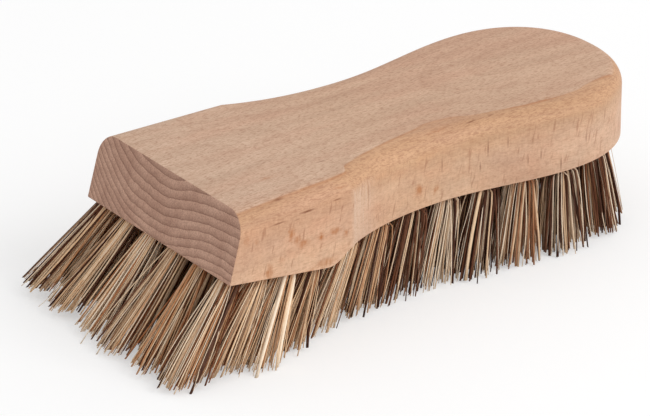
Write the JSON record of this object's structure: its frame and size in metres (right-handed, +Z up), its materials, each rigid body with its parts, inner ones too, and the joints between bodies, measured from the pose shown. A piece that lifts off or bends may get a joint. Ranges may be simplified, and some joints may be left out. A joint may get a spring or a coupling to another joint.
{
  "type": "hand brush",
  "caption": "Violin-shaped wooden scrubbing brush with a bevelled nose and tufts of stiff mixed natural fibre that fan out at the front.",
  "frame": {"origin": "centre of the whole brush seen from above, on the plane that the fibre tips stand on", "axes": "+X along the brush to its rounded rear, +Y across it, +Z up through the flat top of the block; the front tufts point to -X"},
  "size_m": [0.1694, 0.0782, 0.045],
  "materials": {
    "beech": "sanded bare beech, satin",
    "mixed_fibre": "stiff plant fibre, mixed cream, tan, grey and dark brown"
  },
  "bodies": {
    "root": {"beech_block": "beech", "row_01_tuft_1": "mixed_fibre", "row_01_tuft_2": "mixed_fibre", "row_01_tuft_3": "mixed_fibre", "row_01_tuft_4": "mixed_fibre", "row_01_tuft_5": "mixed_fibre", "row_01_tuft_6": "mixed_fibre", "row_02_tuft_1": "mixed_fibre", "row_02_tuft_2": "mixed_fibre", "row_02_tuft_3": "mixed_fibre", "row_02_tuft_4": "mixed_fibre", "row_02_tuft_5": "mixed_fibre", "row_03_tuft_1": "mixed_fibre", "row_03_tuft_2": "mixed_fibre", "row_03_tuft_3": "mixed_fibre", "row_03_tuft_4": "mixed_fibre", "row_03_tuft_5": "mixed_fibre", "row_04_tuft_1": "mixed_fibre", "row_04_tuft_2": "mixed_fibre", "row_04_tuft_3": "mixed_fibre", "row_04_tuft_4": "mixed_fibre", "row_04_tuft_5": "mixed_fibre", "row_05_tuft_1": "mixed_fibre", "row_05_tuft_2": "mixed_fibre", "row_05_tuft_3": "mixed_fibre", "row_05_tuft_4": "mixed_fibre", "row_05_tuft_5": "mixed_fibre", "row_06_tuft_1": "mixed_fibre", "row_06_tuft_2": "mixed_fibre", "row_06_tuft_3": "mixed_fibre", "row_06_tuft_4": "mixed_fibre", "row_07_tuft_1": "mixed_fibre", "row_07_tuft_2": "mixed_fibre", "row_07_tuft_3": "mixed_fibre", "row_07_tuft_4": "mixed_fibre", "row_08_tuft_1": "mixed_fibre", "row_08_tuft_2": "mixed_fibre", "row_08_tuft_3": "mixed_fibre", "row_08_tuft_4": "mixed_fibre", "row_09_tuft_1": "mixed_fibre", "row_09_tuft_2": "mixed_fibre", "row_09_tuft_3": "mixed_fibre", "row_09_tuft_4": "mixed_fibre", "row_10_tuft_1": "mixed_fibre", "row_10_tuft_2": "mixed_fibre", "row_10_tuft_3": "mixed_fibre", "row_10_tuft_4": "mixed_fibre", "row_10_tuft_5": "mixed_fibre", "row_11_tuft_1": "mixed_fibre", "row_11_tuft_2": "mixed_fibre", "row_11_tuft_3": "mixed_fibre", "row_11_tuft_4": "mixed_fibre", "row_11_tuft_5": "mixed_fibre", "row_12_tuft_1": "mixed_fibre", "row_12_tuft_2": "mixed_fibre", "row_12_tuft_3": "mixed_fibre", "row_12_tuft_4": "mixed_fibre", "row_13_tuft_1": "mixed_fibre", "row_13_tuft_2": "mixed_fibre", "row_13_tuft_3": "mixed_fibre"}
  },
  "joints": []
}
